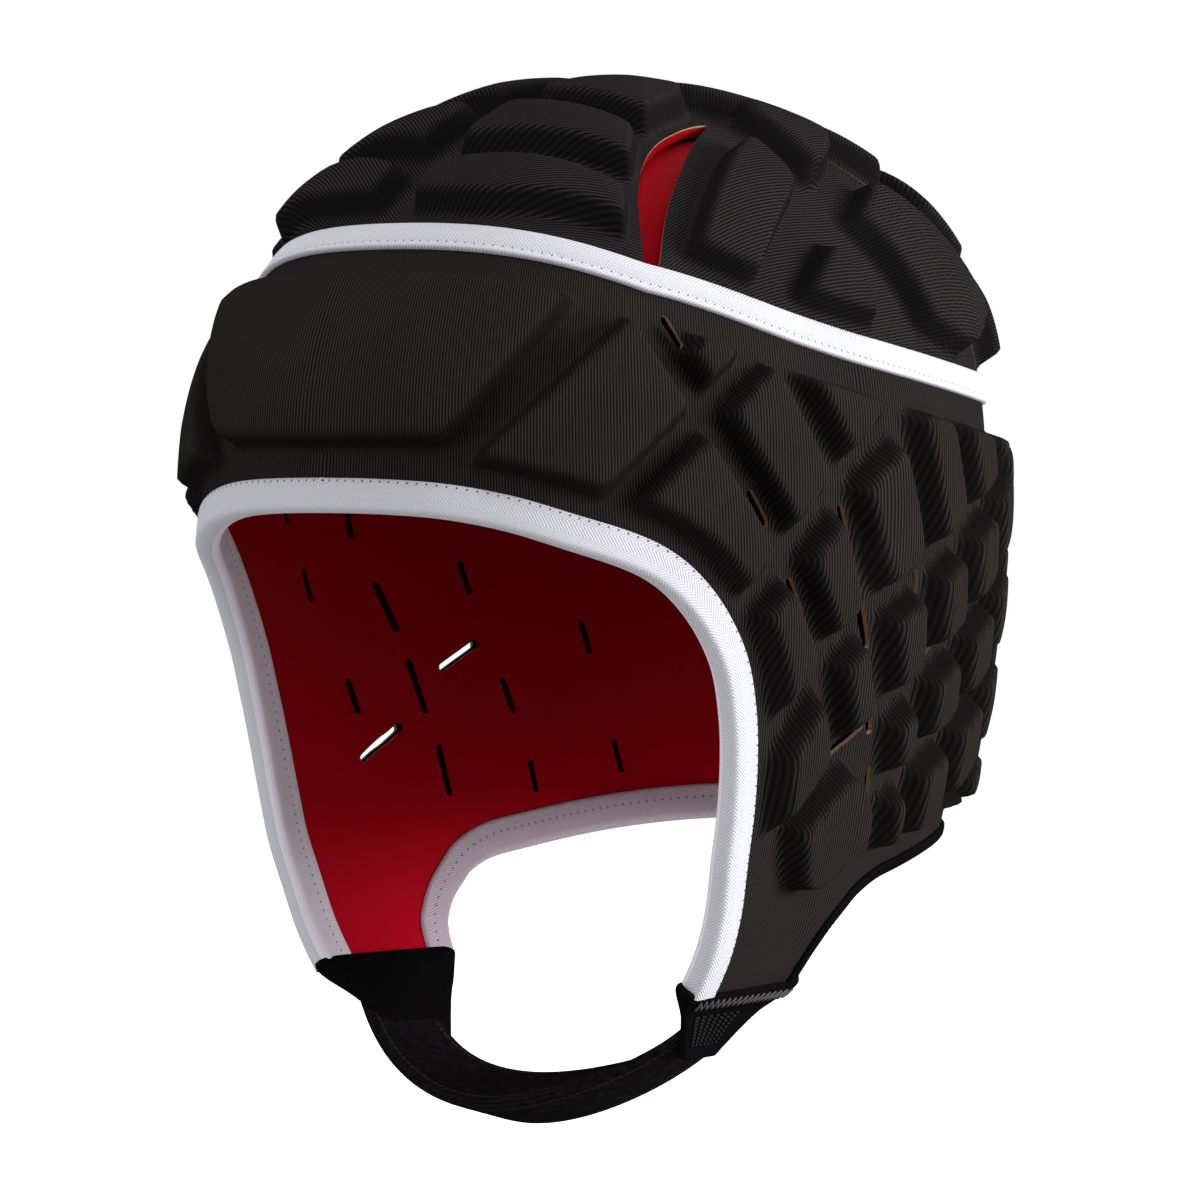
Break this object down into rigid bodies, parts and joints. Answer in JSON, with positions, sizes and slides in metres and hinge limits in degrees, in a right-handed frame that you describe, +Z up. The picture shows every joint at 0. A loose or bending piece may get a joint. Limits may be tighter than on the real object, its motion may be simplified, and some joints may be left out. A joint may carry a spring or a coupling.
{
  "type": "scrum cap",
  "caption": "Padded rugby scrum cap of moulded foam blocks with vent slots, a red lining, taped edges and a chin strap loop.",
  "frame": {"origin": "inside of the crown lining at its highest point, where the top of the head meets it", "axes": "+Z up, the face towards -Y, the wearer's left on +X"},
  "size_m": [0.1712, 0.2217, 0.2519],
  "materials": {
    "charcoal_fabric": "fine ribbed twill",
    "red_lining": "smooth knit",
    "white_tape": "herringbone twill",
    "black_webbing": "brushed strap fabric"
  },
  "bodies": {
    "root": {"crown_panel": "charcoal_fabric", "crown_lining": "red_lining", "side_panel": "charcoal_fabric", "side_lining": "red_lining", "seam_tape": "white_tape", "face_tape": "white_tape", "nape_tape": "white_tape", "strap_tab_left": "black_webbing", "strap_tab_right": "black_webbing", "chin_strap": "black_webbing"}
  },
  "joints": []
}
